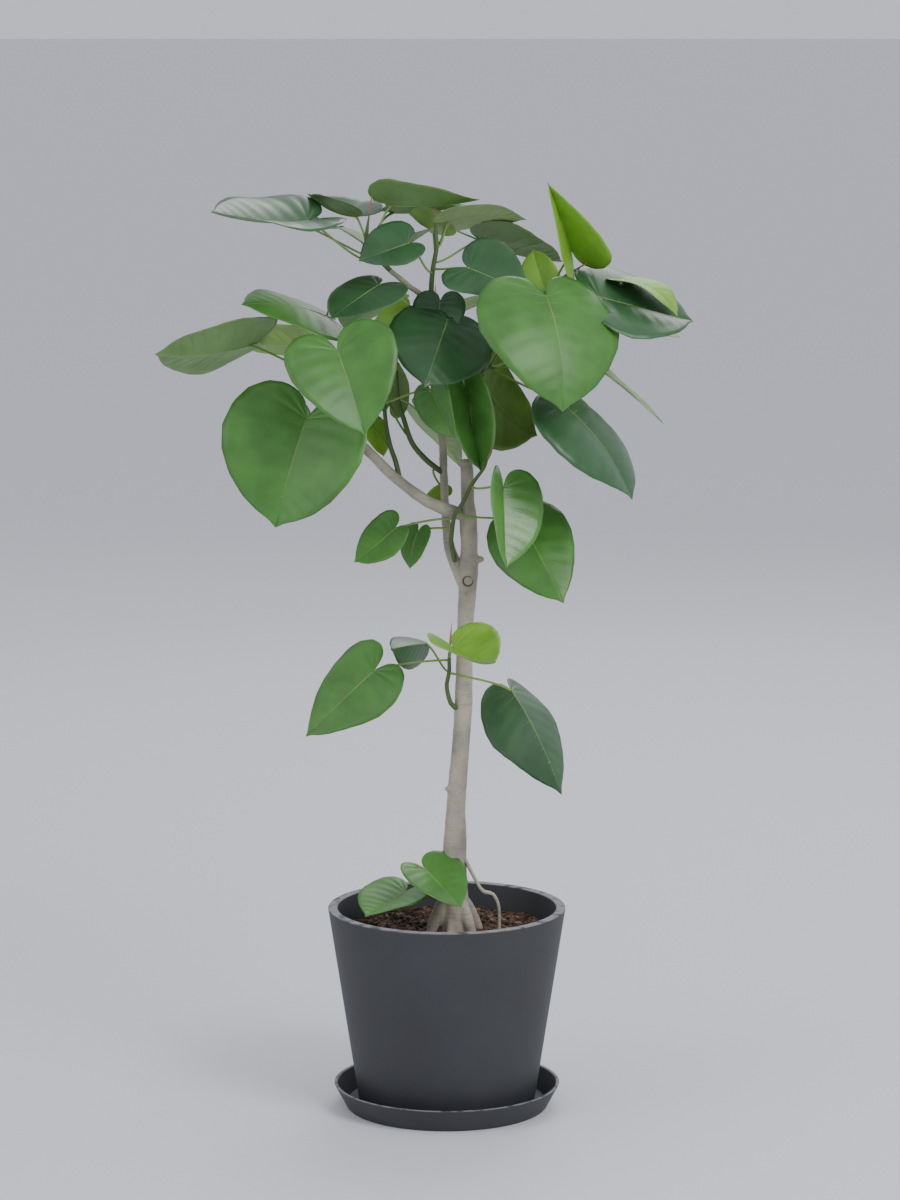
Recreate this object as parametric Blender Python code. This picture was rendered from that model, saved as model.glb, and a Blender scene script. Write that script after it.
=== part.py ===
"""A potted ficus umbellata: a young broadleaf fig tree in a charcoal pot and saucer, about 1.17 m tall.

Metres, +Z up. The origin is the middle of the saucer's flat underside. +X is the plant's right as the
front is seen, and -Y is the front. Plant sizes are given in millimetres and degrees and turned to metres here.
"""
import math
import random
from collections import namedtuple

import bmesh
import bpy
from mathutils import Matrix, Vector

MM = 0.001
GAP = 0.0003                     # clearance between pieces that touch
TOLERANCE = 1e-6

# Saucer and pot
SEGMENTS = 48
SAUCER_HEIGHT = 0.030
SAUCER_RIM_RADIUS = 0.143
SAUCER_FOOT_RADIUS = 0.127
SAUCER_WALL = 0.0045
POT_HEIGHT = 0.256
POT_RIM_RADIUS = 0.150
POT_FOOT_RADIUS = 0.111
POT_WALL = 0.012
POT_FLOOR = 0.014
POT_EDGE = 0.0015
DRAIN_RADIUS = 0.010

# Soil
SOIL_TOP = 0.225
SOIL_RINGS = 3
SOIL_ROUGHNESS = 0.0035
SOIL_LEVEL_RADIUS = 0.078        # level ground round the trunk

# Limbs and twigs
RING_STEP = 0.030                # distance between a limb's rings
TWIG_STEP = 0.020
TRUNK_SIDES = 12
LIMB_SIDES = 8
SHOOT_SIDES = 5
STALK_SIDES = 3
STALK_RINGS = 4
STALK_RADIUS = 0.0014
STALK_KNUCKLE = 0.0020           # radius of the swelling at the blade's joint
STALK_SUNK = 0.10                # share of the blade that the stalk runs into
STALK_BOW = 0.28                 # share of its length that a stalk takes to bend away at either end
STALK_FOLLOW = 0.5               # how far it turns to follow the blade as it arrives

# Leaves
BLADE_THICKNESS = 0.013          # share of the blade's length
THINNEST_BLADE = 0.001
POINT_TAPER = 0.42
# Half of a heart-shaped blade, from the stalk's joint round the lobe to the tip, in shares of its length
HALF_OUTLINE = [(-0.18, 0.08), (-0.25, 0.27), (-0.16, 0.47), (0.04, 0.605), (0.27, 0.635), (0.51, 0.565),
                (0.75, 0.38), (0.91, 0.13)]
MIDRIB_STATIONS = [0.0, 0.30, 0.66, 1.0]
OUTLINE_TO_STATION = [0, 0, 0, 0, 1, 1, 2, 2]

# Leaves behind the crown: each repeats one at the front, turned to face the back
BACK_SEED = 11
BACK_SIZE = (0.80, 0.92)
BACK_TURN = 9                    # degrees
VIEW_FALL = 0.15                 # how far a back leaf hangs below its front one, for each metre behind it

# One leaf: the height where its stalk leaves the shoot, the stalk's joint with the blade, the blade's length,
# its heading (0 is +X, -90 is the front), pitch and roll, how far its halves fold up, its edges curl up and
# its tip bends down, its width, how pointed it is, and the depth of the like leaf behind it, if it has one.
Leaf = namedtuple("Leaf", "root joint length heading pitch roll fold curl bend width point behind",
                  defaults=(None,))

# Limbs: each knot is x, y, z and the radius
TRUNK = [(11, 0, 205, 22), (10, 0, 245, 19.5), (9, 0, 290, 16.5), (10, 0, 328, 15), (12, 0, 393, 12),
         (18, 0, 469, 11), (21, 0, 520, 11.2), (22.5, 0, 600, 10), (25, 0, 646, 11), (26.5, 0, 680, 12.4),
         (28, 0, 715, 10.8), (26.5, 0, 747, 11), (26, 0, 775, 8.3), (24.5, 0, 823, 7.8)]
LEADER = [(25, 0, 655, 7.5), (13, 4, 686, 8), (4, 10, 709, 7.2), (0, 14, 735, 5.9), (-2, 16, 760, 5.3),
          (-4, 17, 810, 5.2), (-7, 19, 870, 5), (-15, 21, 969, 4.1), (-19, 22, 1031, 3.4)]
LEFT_BOUGH = [(24, 0, 751, 7), (6, -9, 759, 8.3), (-8, -15, 765, 7.8), (-27, -17, 774, 7.2), (-64, -15, 802, 6.7),
              (-100, -13, 837, 6.3), (-117, -12, 852, 5.6)]
RIGHT_BOUGH = [(-7, 19, 865, 4.4), (10, 12, 889, 4.4), (26, 6, 911, 4.2), (41, 2, 928, 3.8), (47, 1, 935, 3.6)]
UPPER_LEFT_BOUGH = [(-18, 22, 1012, 3.8), (-33, 20, 1026, 3.8), (-48, 16, 1037, 3.7), (-76, 10, 1061, 3.4)]
ARCHING_ROOT = [(16, -2, 330, 2.6), (31, -12, 303, 2.3), (42, -20, 284, 2.1), (49, -22, 279, 2.8),
                (58, -24, 277, 2.1), (65, -26, 262, 2), (66, -28, 232, 1.9), (66, -28, 215, 1.9)]

# Root flare: heading, reach from the trunk's middle, the height where the root leaves it, and its radius
ROOT_FLARE = [(205, 40, 268, 9), (250, 26, 258, 6), (318, 34, 262, 8), (20, 36, 262, 9), (85, 38, 265, 9),
              (145, 36, 262, 8)]
ROOT_END_RADIUS = 3.5
ROOT_DEPTH = 212                 # the roots run under the ground before the flat cut

# Knobs left by old shoots: height on the trunk, heading, reach and radius
KNOBS = [(697, -8, 19, 4.5), (407, 200, 16.5, 3.2), (672, -85, 13.6, 6.5), (758, 100, 14, 4)]
KNOB_TIP = 0.75                  # share of its radius that a knob keeps at its end


def material(name, colour, roughness):
    """Plain finish for one kind of piece."""
    finish = bpy.data.materials.new(name)
    finish.use_nodes = True
    shader = finish.node_tree.nodes["Principled BSDF"]
    shader.inputs["Base Color"].default_value = (*colour, 1.0)
    shader.inputs["Roughness"].default_value = roughness
    shader.inputs["Metallic"].default_value = 0.0
    return finish


def new_object(name, bm, finish):
    """One object from finished geometry, with its faces turned out."""
    bmesh.ops.recalc_face_normals(bm, faces=bm.faces)
    mesh = bpy.data.meshes.new(name)
    bm.to_mesh(mesh)
    bm.free()
    mesh.materials.append(finish)
    thing = bpy.data.objects.new(name, mesh)
    bpy.context.scene.collection.objects.link(thing)
    return thing


def shade_round(thing, angle=40):
    """Smooth shading, kept crisp at the edges sharper than the angle in degrees."""
    thing.data.shade_smooth()
    thing.data.set_sharp_from_angle(angle=math.radians(angle))


def turned(name, profile, finish):
    """A round piece spun about Z from a profile of (radius, height) that closes on itself or on the axis."""
    bm = bmesh.new()
    points = [bm.verts.new((radius, 0, height)) for radius, height in profile]
    edges = [bm.edges.new(pair) for pair in zip(points, points[1:])]
    if profile[0][0] > TOLERANCE:
        edges.append(bm.edges.new((points[-1], points[0])))
    bmesh.ops.spin(bm, geom=points + edges, cent=(0, 0, 0), axis=(0, 0, 1), angle=math.tau,
                   steps=SEGMENTS, use_merge=True)
    bmesh.ops.remove_doubles(bm, verts=bm.verts, dist=TOLERANCE)
    thing = new_object(name, bm, finish)
    shade_round(thing)
    return thing


def curve_through(knots, step):
    """Smooth line through the knots, as (place, radius) pairs about a step apart, in metres."""
    places = [Vector(knot[:3]) * MM for knot in knots]
    radii = [knot[3] * MM for knot in knots]
    places = [2 * places[0] - places[1]] + places + [2 * places[-1] - places[-2]]
    line = []
    for i in range(len(knots) - 1):
        before, start, end, after = places[i:i + 4]
        parts = max(1, round((end - start).length / step))
        for k in range(parts):
            t = k / parts
            place = 0.5 * (2 * start + (end - before) * t
                           + (2 * before - 5 * start + 4 * end - after) * t ** 2
                           + (3 * start - before - 3 * end + after) * t ** 3)
            ease = t * t * (3 - 2 * t)
            line.append((place, radii[i] * (1 - ease) + radii[i + 1] * ease))
    line.append((places[-2], radii[-1]))
    return line


def tube(name, line, sides, finish, extra=0.0):
    """A closed limb with rings along the line; extra widens it all over and lengthens its ends."""
    bm = bmesh.new()
    side = Vector((1, 0, 0.01))
    last = len(line) - 1
    rings = []
    for i, (place, radius) in enumerate(line):
        along = (line[min(i + 1, last)][0] - line[max(i - 1, 0)][0]).normalized()
        side = (side - along * side.dot(along)).normalized()
        turn = Matrix((side, along.cross(side), along)).transposed().to_4x4()
        end_shift = along * extra * ((i == last) - (i == 0))
        ring = bmesh.ops.create_circle(bm, cap_ends=i in (0, last), segments=sides, radius=radius + extra,
                                       matrix=Matrix.Translation(place + end_shift) @ turn)["verts"]
        rings.append(ring)
    for lower, upper in zip(rings, rings[1:]):
        for k in range(sides):
            bm.faces.new((lower[k], lower[(k + 1) % sides], upper[(k + 1) % sides], upper[k]))
    thing = new_object(name, bm, finish)
    shade_round(thing)
    return thing


def clean_cuts(thing):
    """Drop what cuts and joins leave over: flaps of no width, loose scraps and the walls of sealed hollows."""
    bm = bmesh.new()
    bm.from_mesh(thing.data)
    bmesh.ops.triangulate(bm, faces=bm.faces, ngon_method="EAR_CLIP")
    corners = {}
    for face in bm.faces:
        corners.setdefault(frozenset(face.verts), []).append(face)
    flaps = [face for faces in corners.values() if len(faces) > 1 for face in faces]
    bmesh.ops.delete(bm, geom=flaps, context="FACES")
    bm.verts.ensure_lookup_table()
    unseen = set(bm.verts)
    bodies = []
    while unseen:
        start = unseen.pop()
        body = {start}
        front = [start]
        while front:
            for edge in front.pop().link_edges:
                for vert in edge.verts:
                    if vert in unseen:
                        unseen.discard(vert)
                        body.add(vert)
                        front.append(vert)
        bodies.append(body)
    bodies.sort(key=len)
    for body in bodies[:-1]:
        bmesh.ops.delete(bm, geom=list(body), context="VERTS")
    bm.to_mesh(thing.data)
    bm.free()
    shade_round(thing)


def apply_boolean(thing, operation, solver="EXACT", **operand):
    """Run one Boolean on the thing and keep its result."""
    boolean = thing.modifiers.new(operation, "BOOLEAN")
    boolean.operation = operation
    boolean.solver = solver
    for key, value in operand.items():
        setattr(boolean, key, value)
    view = bpy.context.evaluated_depsgraph_get()
    result = bpy.data.meshes.new_from_object(thing.evaluated_get(view))
    thing.modifiers.clear()
    thing.data = result


def fuse(name, pieces, solver="EXACT"):
    """Join the pieces of one limb or mass into one solid."""
    whole, *rest = pieces
    whole.name = name
    group = bpy.data.collections.new(name + "_pieces")
    bpy.context.scene.collection.children.link(group)
    for piece in rest:
        group.objects.link(piece)
    apply_boolean(whole, "UNION", solver, operand_type="COLLECTION", collection=group)
    for piece in rest:
        bpy.data.objects.remove(piece)
    bpy.data.collections.remove(group)
    return whole


def cut_clear(thing, knots, sides, solver="EXACT"):
    """Cut the thing back to a hair's breadth from the limb that carries it."""
    cutter = tube("cutter", curve_through(knots, RING_STEP), sides, thing.active_material, GAP)
    cutter.hide_render = True
    cutter.display_type = "WIRE"
    apply_boolean(thing, "DIFFERENCE", solver, object=cutter)
    bpy.data.objects.remove(cutter)


def cut_level(thing, height):
    """Cut the thing off flat at the height and close the cut."""
    bm = bmesh.new()
    bm.from_mesh(thing.data)
    cut = bmesh.ops.bisect_plane(bm, geom=bm.verts[:] + bm.edges[:] + bm.faces[:], dist=TOLERANCE,
                                 plane_co=(0, 0, height), plane_no=(0, 0, 1), clear_inner=True)
    edges = [item for item in cut["geom_cut"] if isinstance(item, bmesh.types.BMEdge)]
    bmesh.ops.contextual_create(bm, geom=edges)
    bmesh.ops.recalc_face_normals(bm, faces=bm.faces)
    bm.to_mesh(thing.data)
    bm.free()


def blade_axes(leaf):
    """Directions to the blade's tip, across it and off its upper face."""
    heading, pitch, roll = (math.radians(angle) for angle in (leaf.heading, leaf.pitch, leaf.roll))
    tip = Vector((math.cos(pitch) * math.cos(heading), math.cos(pitch) * math.sin(heading), math.sin(pitch)))
    level = Vector((-math.sin(heading), math.cos(heading), 0))
    face = tip.cross(level)
    across = level * math.cos(roll) + face * math.sin(roll)
    return tip, across, face * math.cos(roll) - level * math.sin(roll)


def blade_place(leaf, axes, u, v):
    """Where the blade is at share u of its length and share v to one side, once folded, curled and bent."""
    bend = math.radians(leaf.bend) or TOLERANCE
    fold = math.radians(leaf.fold)
    curl = math.radians(leaf.curl) or TOLERANCE
    ahead = max(u, 0)
    reach = abs(v) * leaf.width * (1 - POINT_TAPER * leaf.point * min(ahead, 1))
    side = math.copysign((math.sin(fold + curl * reach) - math.sin(fold)) / curl, v)
    lift = -(math.cos(fold + curl * reach) - math.cos(fold)) / curl
    turn = bend * ahead
    x = math.sin(turn) / bend + min(u, 0) + lift * math.sin(turn)
    z = -(1 - math.cos(turn)) / bend + lift * math.cos(turn)
    half = bend / 2
    x, z = x * math.cos(half) - z * math.sin(half), x * math.sin(half) + z * math.cos(half)
    size = leaf.length * MM * half / math.sin(half)
    tip, across, face = axes
    return Vector(leaf.joint) * MM + size * (x * tip + side * across + z * face)


def blade_thickness(leaf):
    """A sheet thick enough to be a solid."""
    return max(BLADE_THICKNESS * leaf.length * MM, THINNEST_BLADE)


def blade(leaf, finish):
    """One leaf's blade: two halves folded on the midrib, thickened to a closed sheet."""
    axes = blade_axes(leaf)
    bm = bmesh.new()
    midrib = [bm.verts.new(blade_place(leaf, axes, u, 0)) for u in MIDRIB_STATIONS]
    for hand in (1, -1):
        rim = [bm.verts.new(blade_place(leaf, axes, u, hand * v)) for u, v in HALF_OUTLINE]
        stations = list(OUTLINE_TO_STATION)
        rim.append(midrib[-1])
        stations.append(len(midrib) - 1)
        for k in range(len(rim) - 1):
            near, far = midrib[stations[k]], midrib[stations[k + 1]]
            corners = [near, rim[k], rim[k + 1]]
            if far is not near and far is not rim[k + 1]:
                corners.append(far)
            bm.faces.new(corners[::hand])
    bmesh.ops.recalc_face_normals(bm, faces=bm.faces)
    bmesh.ops.triangulate(bm, faces=bm.faces)
    bmesh.ops.solidify(bm, geom=bm.faces, thickness=blade_thickness(leaf))
    return new_object("blade", bm, finish)


def shoot_at(line, height):
    """The shoot's place at a height, and its direction there."""
    for (low, _), (high, _) in zip(line, line[1:]):
        if low.z <= height <= high.z:
            break
    share = (height - low.z) / (high.z - low.z)
    return low.lerp(high, min(max(share, 0), 1)), (high - low).normalized()


def stalk(leaf, line, finish):
    """A leaf's stalk: out from the shoot's middle, over to the joint, and on inside the blade."""
    root, along = shoot_at(line, leaf.root * MM)
    joint = Vector(leaf.joint) * MM
    tip = blade_axes(leaf)[0]
    way = joint - root
    reach = way.length
    out = (way - along * way.dot(along)).normalized()
    way.normalize()
    lead = root + out * reach * STALK_BOW
    arrive = joint - (way + tip * (STALK_FOLLOW - min(way.dot(tip), 0))).normalized() * reach * STALK_BOW
    path = []
    for k in range(STALK_RINGS):
        t = k / (STALK_RINGS - 1)
        place = (root * (1 - t) ** 3 + lead * 3 * t * (1 - t) ** 2 + arrive * 3 * t * t * (1 - t) + joint * t ** 3)
        path.append((place, STALK_KNUCKLE if t == 1 else STALK_RADIUS))
    path.append((blade_place(leaf, blade_axes(leaf), STALK_SUNK, 0), blade_thickness(leaf) * 0.45))
    return tube("stalk", path, STALK_SIDES, finish)


def back_leaf(leaf, rng):
    """The like leaf behind a front one: mirrored to face the back, smaller, and turned a little."""
    x, y, z = leaf.joint
    return leaf._replace(joint=(x, leaf.behind, z - VIEW_FALL * (leaf.behind - y)),
                         length=leaf.length * rng.uniform(*BACK_SIZE),
                         heading=-leaf.heading + rng.uniform(-BACK_TURN, BACK_TURN),
                         pitch=leaf.pitch + rng.uniform(-BACK_TURN, BACK_TURN), roll=-leaf.roll)


def foliage(name, shoot, leaves, carrier, carrier_sides=LIMB_SIDES):
    """One mass: a shoot with its leaves, fused, and cut clear of the limb that carries it."""
    rng = random.Random(BACK_SEED)
    line = curve_through(shoot, TWIG_STEP)
    pieces = [tube(name, line, SHOOT_SIDES, LEAF_GREEN)]
    for leaf in leaves + [back_leaf(front, rng) for front in leaves if front.behind is not None]:
        pieces.append(stalk(leaf, line, LEAF_GREEN))
        pieces.append(blade(leaf, LEAF_GREEN))
    mass = fuse(name, pieces, "MANIFOLD")
    cut_clear(mass, carrier, carrier_sides, "MANIFOLD")
    clean_cuts(mass)
    return mass


for leftover in list(bpy.data.objects):
    bpy.data.objects.remove(leftover)

GLAZE = material("charcoal_pot", (0.045, 0.048, 0.055), 0.62)
SOIL_BROWN = material("bark_soil", (0.085, 0.045, 0.026), 0.95)
BARK = material("pale_bark", (0.42, 0.37, 0.29), 0.75)
LEAF_GREEN = material("leaf_green", (0.075, 0.22, 0.035), 0.45)


def make_saucer():
    """A shallow flared saucer with a flat underside."""
    slope = (SAUCER_RIM_RADIUS - SAUCER_FOOT_RADIUS) / SAUCER_HEIGHT
    edge = SAUCER_WALL / 3
    inner_foot = SAUCER_FOOT_RADIUS - SAUCER_WALL + slope * SAUCER_WALL
    turned("saucer", [(0, 0), (SAUCER_FOOT_RADIUS - edge, 0), (SAUCER_FOOT_RADIUS + slope * edge, edge),
                      (SAUCER_RIM_RADIUS, SAUCER_HEIGHT - edge), (SAUCER_RIM_RADIUS - edge, SAUCER_HEIGHT),
                      (SAUCER_RIM_RADIUS - SAUCER_WALL + edge, SAUCER_HEIGHT),
                      (SAUCER_RIM_RADIUS - SAUCER_WALL, SAUCER_HEIGHT - edge),
                      (inner_foot, SAUCER_WALL), (0, SAUCER_WALL)], GLAZE)


def pot_radius(height):
    """The pot's outer radius at a height above the floor."""
    foot = SAUCER_WALL + GAP
    return POT_FOOT_RADIUS + (POT_RIM_RADIUS - POT_FOOT_RADIUS) * (height - foot) / (POT_HEIGHT - foot)


def make_pot():
    """A tapered pot with a thick flat rim and a drain hole in its floor."""
    foot = SAUCER_WALL + GAP
    floor = foot + POT_FLOOR
    turned("pot", [(DRAIN_RADIUS, foot), (pot_radius(foot) - POT_EDGE, foot),
                   (pot_radius(foot + POT_EDGE), foot + POT_EDGE),
                   (pot_radius(POT_HEIGHT - POT_EDGE), POT_HEIGHT - POT_EDGE),
                   (POT_RIM_RADIUS - POT_EDGE, POT_HEIGHT),
                   (POT_RIM_RADIUS - POT_WALL + POT_EDGE, POT_HEIGHT),
                   (POT_RIM_RADIUS - POT_WALL, POT_HEIGHT - POT_EDGE),
                   (pot_radius(floor) - POT_WALL, floor), (DRAIN_RADIUS, floor)], GLAZE)


def make_soil():
    """The soil that fills the pot: level round the trunk, lumpy towards the rim and higher at the right back."""
    floor = SAUCER_WALL + GAP + POT_FLOOR + GAP
    shelf = SOIL_TOP - 2 * SOIL_ROUGHNESS
    rim = pot_radius(shelf) - POT_WALL - GAP
    profile = [(0, floor), (pot_radius(floor) - POT_WALL - GAP, floor), (rim, shelf)]
    spacing = (rim - SOIL_LEVEL_RADIUS) / SOIL_RINGS
    profile += [(rim - spacing * (ring + 1), SOIL_TOP) for ring in range(SOIL_RINGS)] + [(0, SOIL_TOP)]
    soil = turned("soil", profile, SOIL_BROWN)
    rng = random.Random(4)
    for vert in soil.data.vertices:
        radius = math.hypot(vert.co.x, vert.co.y)
        if vert.co.z > shelf + TOLERANCE and radius > SOIL_LEVEL_RADIUS + spacing / 2:
            bank = 0.5 * (vert.co.x + vert.co.y) / rim
            vert.co.z += SOIL_ROUGHNESS * (rng.uniform(-0.8, 0.6) + bank)


def heading_place(middle, heading, reach, height):
    """A place at a heading and distance from a middle point, in millimetres."""
    turn = math.radians(heading)
    return middle[0] + reach * math.cos(turn), middle[1] + reach * math.sin(turn), height


def trunk_middle(height):
    """The trunk's middle at a height in millimetres."""
    for low, high in zip(TRUNK, TRUNK[1:]):
        if low[2] <= height <= high[2]:
            share = (height - low[2]) / (high[2] - low[2])
            return tuple(a + share * (b - a) for a, b in zip(low[:2], high[:2]))
    return TRUNK[0][:2]


def make_trunk():
    """The tapering trunk with its root flare and the knobs of old shoots, cut flat at the ground."""
    pieces = [tube("trunk", curve_through(TRUNK, RING_STEP), TRUNK_SIDES, BARK)]
    foot = trunk_middle(SOIL_TOP / MM)
    for heading, reach, leave, radius in ROOT_FLARE:
        root = [(*heading_place(foot, heading, 0.15 * reach, leave + 12)[:2], leave + 12, 0.8 * radius),
                (*heading_place(foot, heading, 0.55 * reach, leave)[:2], leave - 16, radius),
                (*heading_place(foot, heading, 0.85 * reach, leave)[:2], SOIL_TOP / MM, 0.75 * radius),
                (*heading_place(foot, heading, reach, leave)[:2], ROOT_DEPTH, ROOT_END_RADIUS)]
        pieces.append(tube("root", curve_through(root, TWIG_STEP), LIMB_SIDES, BARK))
    for height, heading, reach, radius in KNOBS:
        middle = trunk_middle(height)
        knob = [(*middle, height, radius), (*heading_place(middle, heading, 0.8 * reach, height + 1), radius),
                (*heading_place(middle, heading, reach, height + 1.5), KNOB_TIP * radius)]
        pieces.append(tube("knob", curve_through(knob, RING_STEP), LIMB_SIDES, BARK))
    trunk = fuse("trunk", pieces)
    cut_level(trunk, SOIL_TOP + GAP)
    clean_cuts(trunk)


def make_boughs():
    """The leader, the three boughs and the arching root, each cut to fit the limb that carries it."""
    for name, knots, carrier, sides in (("leader", LEADER, TRUNK, TRUNK_SIDES),
                                        ("left_bough", LEFT_BOUGH, TRUNK, TRUNK_SIDES),
                                        ("right_bough", RIGHT_BOUGH, LEADER, LIMB_SIDES),
                                        ("upper_left_bough", UPPER_LEFT_BOUGH, LEADER, LIMB_SIDES),
                                        ("arching_root", ARCHING_ROOT, TRUNK, TRUNK_SIDES)):
        limb = tube(name, curve_through(knots, TWIG_STEP), LIMB_SIDES, BARK)
        cut_clear(limb, carrier, sides)
        if name == "arching_root":
            cut_level(limb, SOIL_TOP + GAP)
        clean_cuts(limb)


make_saucer()
make_pot()
make_soil()
make_trunk()
make_boughs()

# The masses of foliage, one for each shoot
foliage("top_foliage",
        [(-19, 22, 1025, 3.2), (-19, 22, 1037, 3.2), (-17, 22, 1058, 3), (-13, 22, 1080, 2.8), (-13, 22, 1094, 2.9),
         (-15, 22, 1124, 1)],
        [Leaf(1052, (-48, -30, 1091), 65, -163, -18, -40, 14, -8, 0, 0.95, 0.2),
         Leaf(1083, (3, 30, 1115), 96, 6, 1, -23, 0, 5, 24, 0.8, 0.26),
         Leaf(1084, (-2, 50, 1114), 56, 144, 7, 46, -7, 0, 9, 0.73, 0),
         Leaf(1077, (-19, 100, 1101), 59, 117, -19, -18, 10, -5, 10, 1, 0.2),
         Leaf(1057, (28, -40, 1061), 86, -29, -21, 41, 19, -17, 17, 0.96, 0.7),
         Leaf(1065, (42, 100, 1087), 121, 26, -14, -8, 12, 10, -22, 0.97, 0.6)],
        LEADER)

foliage("upper_left_foliage",
        [(-70, 11, 1056, 3.2), (-88, 8, 1074, 3), (-96, 8, 1083, 2.8), (-99, 8, 1096, 2.8), (-95, 8, 1127, 0.9)],
        [Leaf(1072, (-171, 0, 1117), 132, -151, 6, -12, 20, -36, -24, 1.04, 0.25, 90),
         Leaf(1095, (-112, 40, 1120), 90, 137, 17, 6, 24, 2, -34, 0.94, 0.5),
         Leaf(1080, (-105, 60, 1087), 84, 131, 18, 19, 10, -8, 5, 0.7, 0.2),
         Leaf(1092, (-68, 20, 1135), 110, -7, 4, -9, 26, -1, -17, 0.95, 1.24, 110)],
        UPPER_LEFT_BOUGH)

foliage("front_foliage",
        [(-16, 21, 978, 2.6), (-16, 8, 986, 2.6), (-17, -4, 1000, 2.2), (-16, -8, 1012, 1.2)],
        [Leaf(994, (1, -42, 998), 108, -111, -44, -26, -15, 4, 24, 0.99, 0.15),
         Leaf(1008, (-8, -20, 1020), 54, -104, -68, -4, 8, -5, 10, 1, 0.2),
         Leaf(1000, (-84, -30, 1040), 84, -138, -26, -9, -6, 13, 7, 0.99, 0.3)],
        LEADER)

foliage("back_foliage",
        [(-15, 21, 960, 2.8), (-14, 34, 970, 2.8), (-16, 48, 984, 2.4), (-20, 60, 1000, 1.4)],
        [Leaf(984, (6, 60, 1001), 56, 22, 14, -30, 8, -5, 8, 0.7, 0.2),
         Leaf(988, (-56, 40, 1002), 41, 150, -16, -45, 8, -5, 8, 1, 0.2),
         Leaf(994, (5, 130, 960), 100, 100, -48, 20, 10, -8, 20, 1, 0.2),
         Leaf(998, (-80, 125, 1010), 78, 140, -30, 9, 6, 8, 8, 1, 0.3)],
        LEADER)

foliage("right_foliage",
        [(41, 2, 928, 3.4), (47, 1, 935, 3.4), (69, 4, 962, 3.2), (103, 10, 998, 2.9), (135, 16, 1032, 2.5),
         (146, 18, 1047, 2.8), (166, 20, 1060, 1)],
        [Leaf(1024, (123, 80, 1024), 58, 130, 66, -58, 17, -4, 17, 0.79, 0.2),
         Leaf(937, (120, -100, 1031), 145, -70, -68, -7, 0, -29, 50, 1.04, 0.23, 150),
         Leaf(1036, (153, 20, 1080), 104, -122, 56, -126, 56, 8, 10, 0.99, 1.7),
         Leaf(940, (187, -20, 1025), 124, 12, -15, 27, 12, -33, 0, 1.04, -0.2, 120),
         Leaf(1034, (223, 20, 1042), 83, -34, -30, 0, 10, -20, 60, 0.6, 0.3),
         Leaf(1018, (204, 80, 992), 96, 12, -16, 15, 8, -8, 10, 0.9, 0.2),
         Leaf(969, (170, 100, 942), 142, 16, -39, 12, 6, -8, 8, 0.6, 0.2),
         Leaf(939, (148, -50, 891), 137, -12, -54, 10, 10, -54, 30, 1.14, 0.2),
         Leaf(938, (46, 30, 920), 106, 26, -45, 50, 12, -42, -48, 1.12, -0.3),
         Leaf(937, (22, -20, 914), 106, -1, -79, 84, 62, -2, 8, 0.81, -0.2)],
        RIGHT_BOUGH)

foliage("left_foliage",
        [(-110, -12, 846, 4.6), (-117, -12, 852, 4.5), (-134, -10, 873, 4), (-149, -4, 899, 3.4), (-157, 2, 928, 3),
         (-154, 8, 958, 2.4), (-150, 12, 985, 1.2)],
        [Leaf(957, (-149, 0, 1000), 118, -150, 9, -19, -3, -12, 30, 0.98, 0.1),
         Leaf(931, (-244, 0, 964), 124, -155, -3, 28, 13, -25, -23, 1.02, -0.3),
         Leaf(931, (-168, 30, 960), 100, 160, -2, 30, 7, -6, 15, 0.82, 0.1),
         Leaf(898, (-132, -108, 967), 112, -49, -62, 34, 18, -8, 24, 1.06, 0.73, 100),
         Leaf(880, (-171, -60, 879), 138, -153, -72, -47, 16, 0, 28, 1.09, 0.1, 90)],
        LEFT_BOUGH)

foliage("inner_left_foliage",
        [(-57, -14, 795, 3.4), (-63, -14, 821, 3.2), (-69, -12, 838, 3), (-74, -8, 860, 2.8), (-77, -2, 887, 2.6),
         (-80, 10, 945, 2)],
        [Leaf(893, (-18, -66, 914), 72, -52, -49, 79, 15, -10, 13, 0.69, 0.6),
         Leaf(839, (-93, 20, 865), 44, -34, -66, 10, 6, -6, 10, 0.8, 0.2)],
        LEFT_BOUGH)

foliage("inner_foliage",
        [(-4, 17, 803, 3.4), (-16, 10, 813, 3.6), (-27, 4, 823, 3.5), (-43, 1, 843, 3.3), (-53, 1, 872, 3.1),
         (-60, 3, 897, 2.6), (-62, 8, 933, 1.8)],
        [Leaf(897, (-36, 60, 876), 93, 20, -52, -8, 8, -8, 10, 0.8, 0.2),
         Leaf(850, (-71, 35, 888), 59, 70, 57, 58, 8, -5, 8, 0.7, 0.2),
         Leaf(812, (-2, 32, 772), 30, 150, -4, -37, 18, -3, 20, 0.96, 0.2)],
        LEADER)

foliage("fork_foliage",
        [(11, 2, 690, 2.8), (6, -6, 715, 2.9), (6, -12, 730, 2.8), (10, -27, 757, 2.7), (19, -30, 771, 2.6),
         (32, -36, 797, 2.5), (46, -42, 817, 2), (50, -46, 828, 0.8)],
        [Leaf(751, (-65, -20, 738), 65, 176, -40, -48, 7, -10, -11, 0.82, 0.2),
         Leaf(737, (-36, 0, 732), 47, -148, -76, -12, 3, -7, 30, 0.85, 0.4),
         Leaf(793, (69, -60, 794), 100, -84, -72, -41, 26, 0, 0, 0.86, 0.16),
         Leaf(760, (93, -20, 746), 118, -46, -52, 43, -12, -5, 32, 0.74, 0.5)],
        LEADER)

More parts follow.
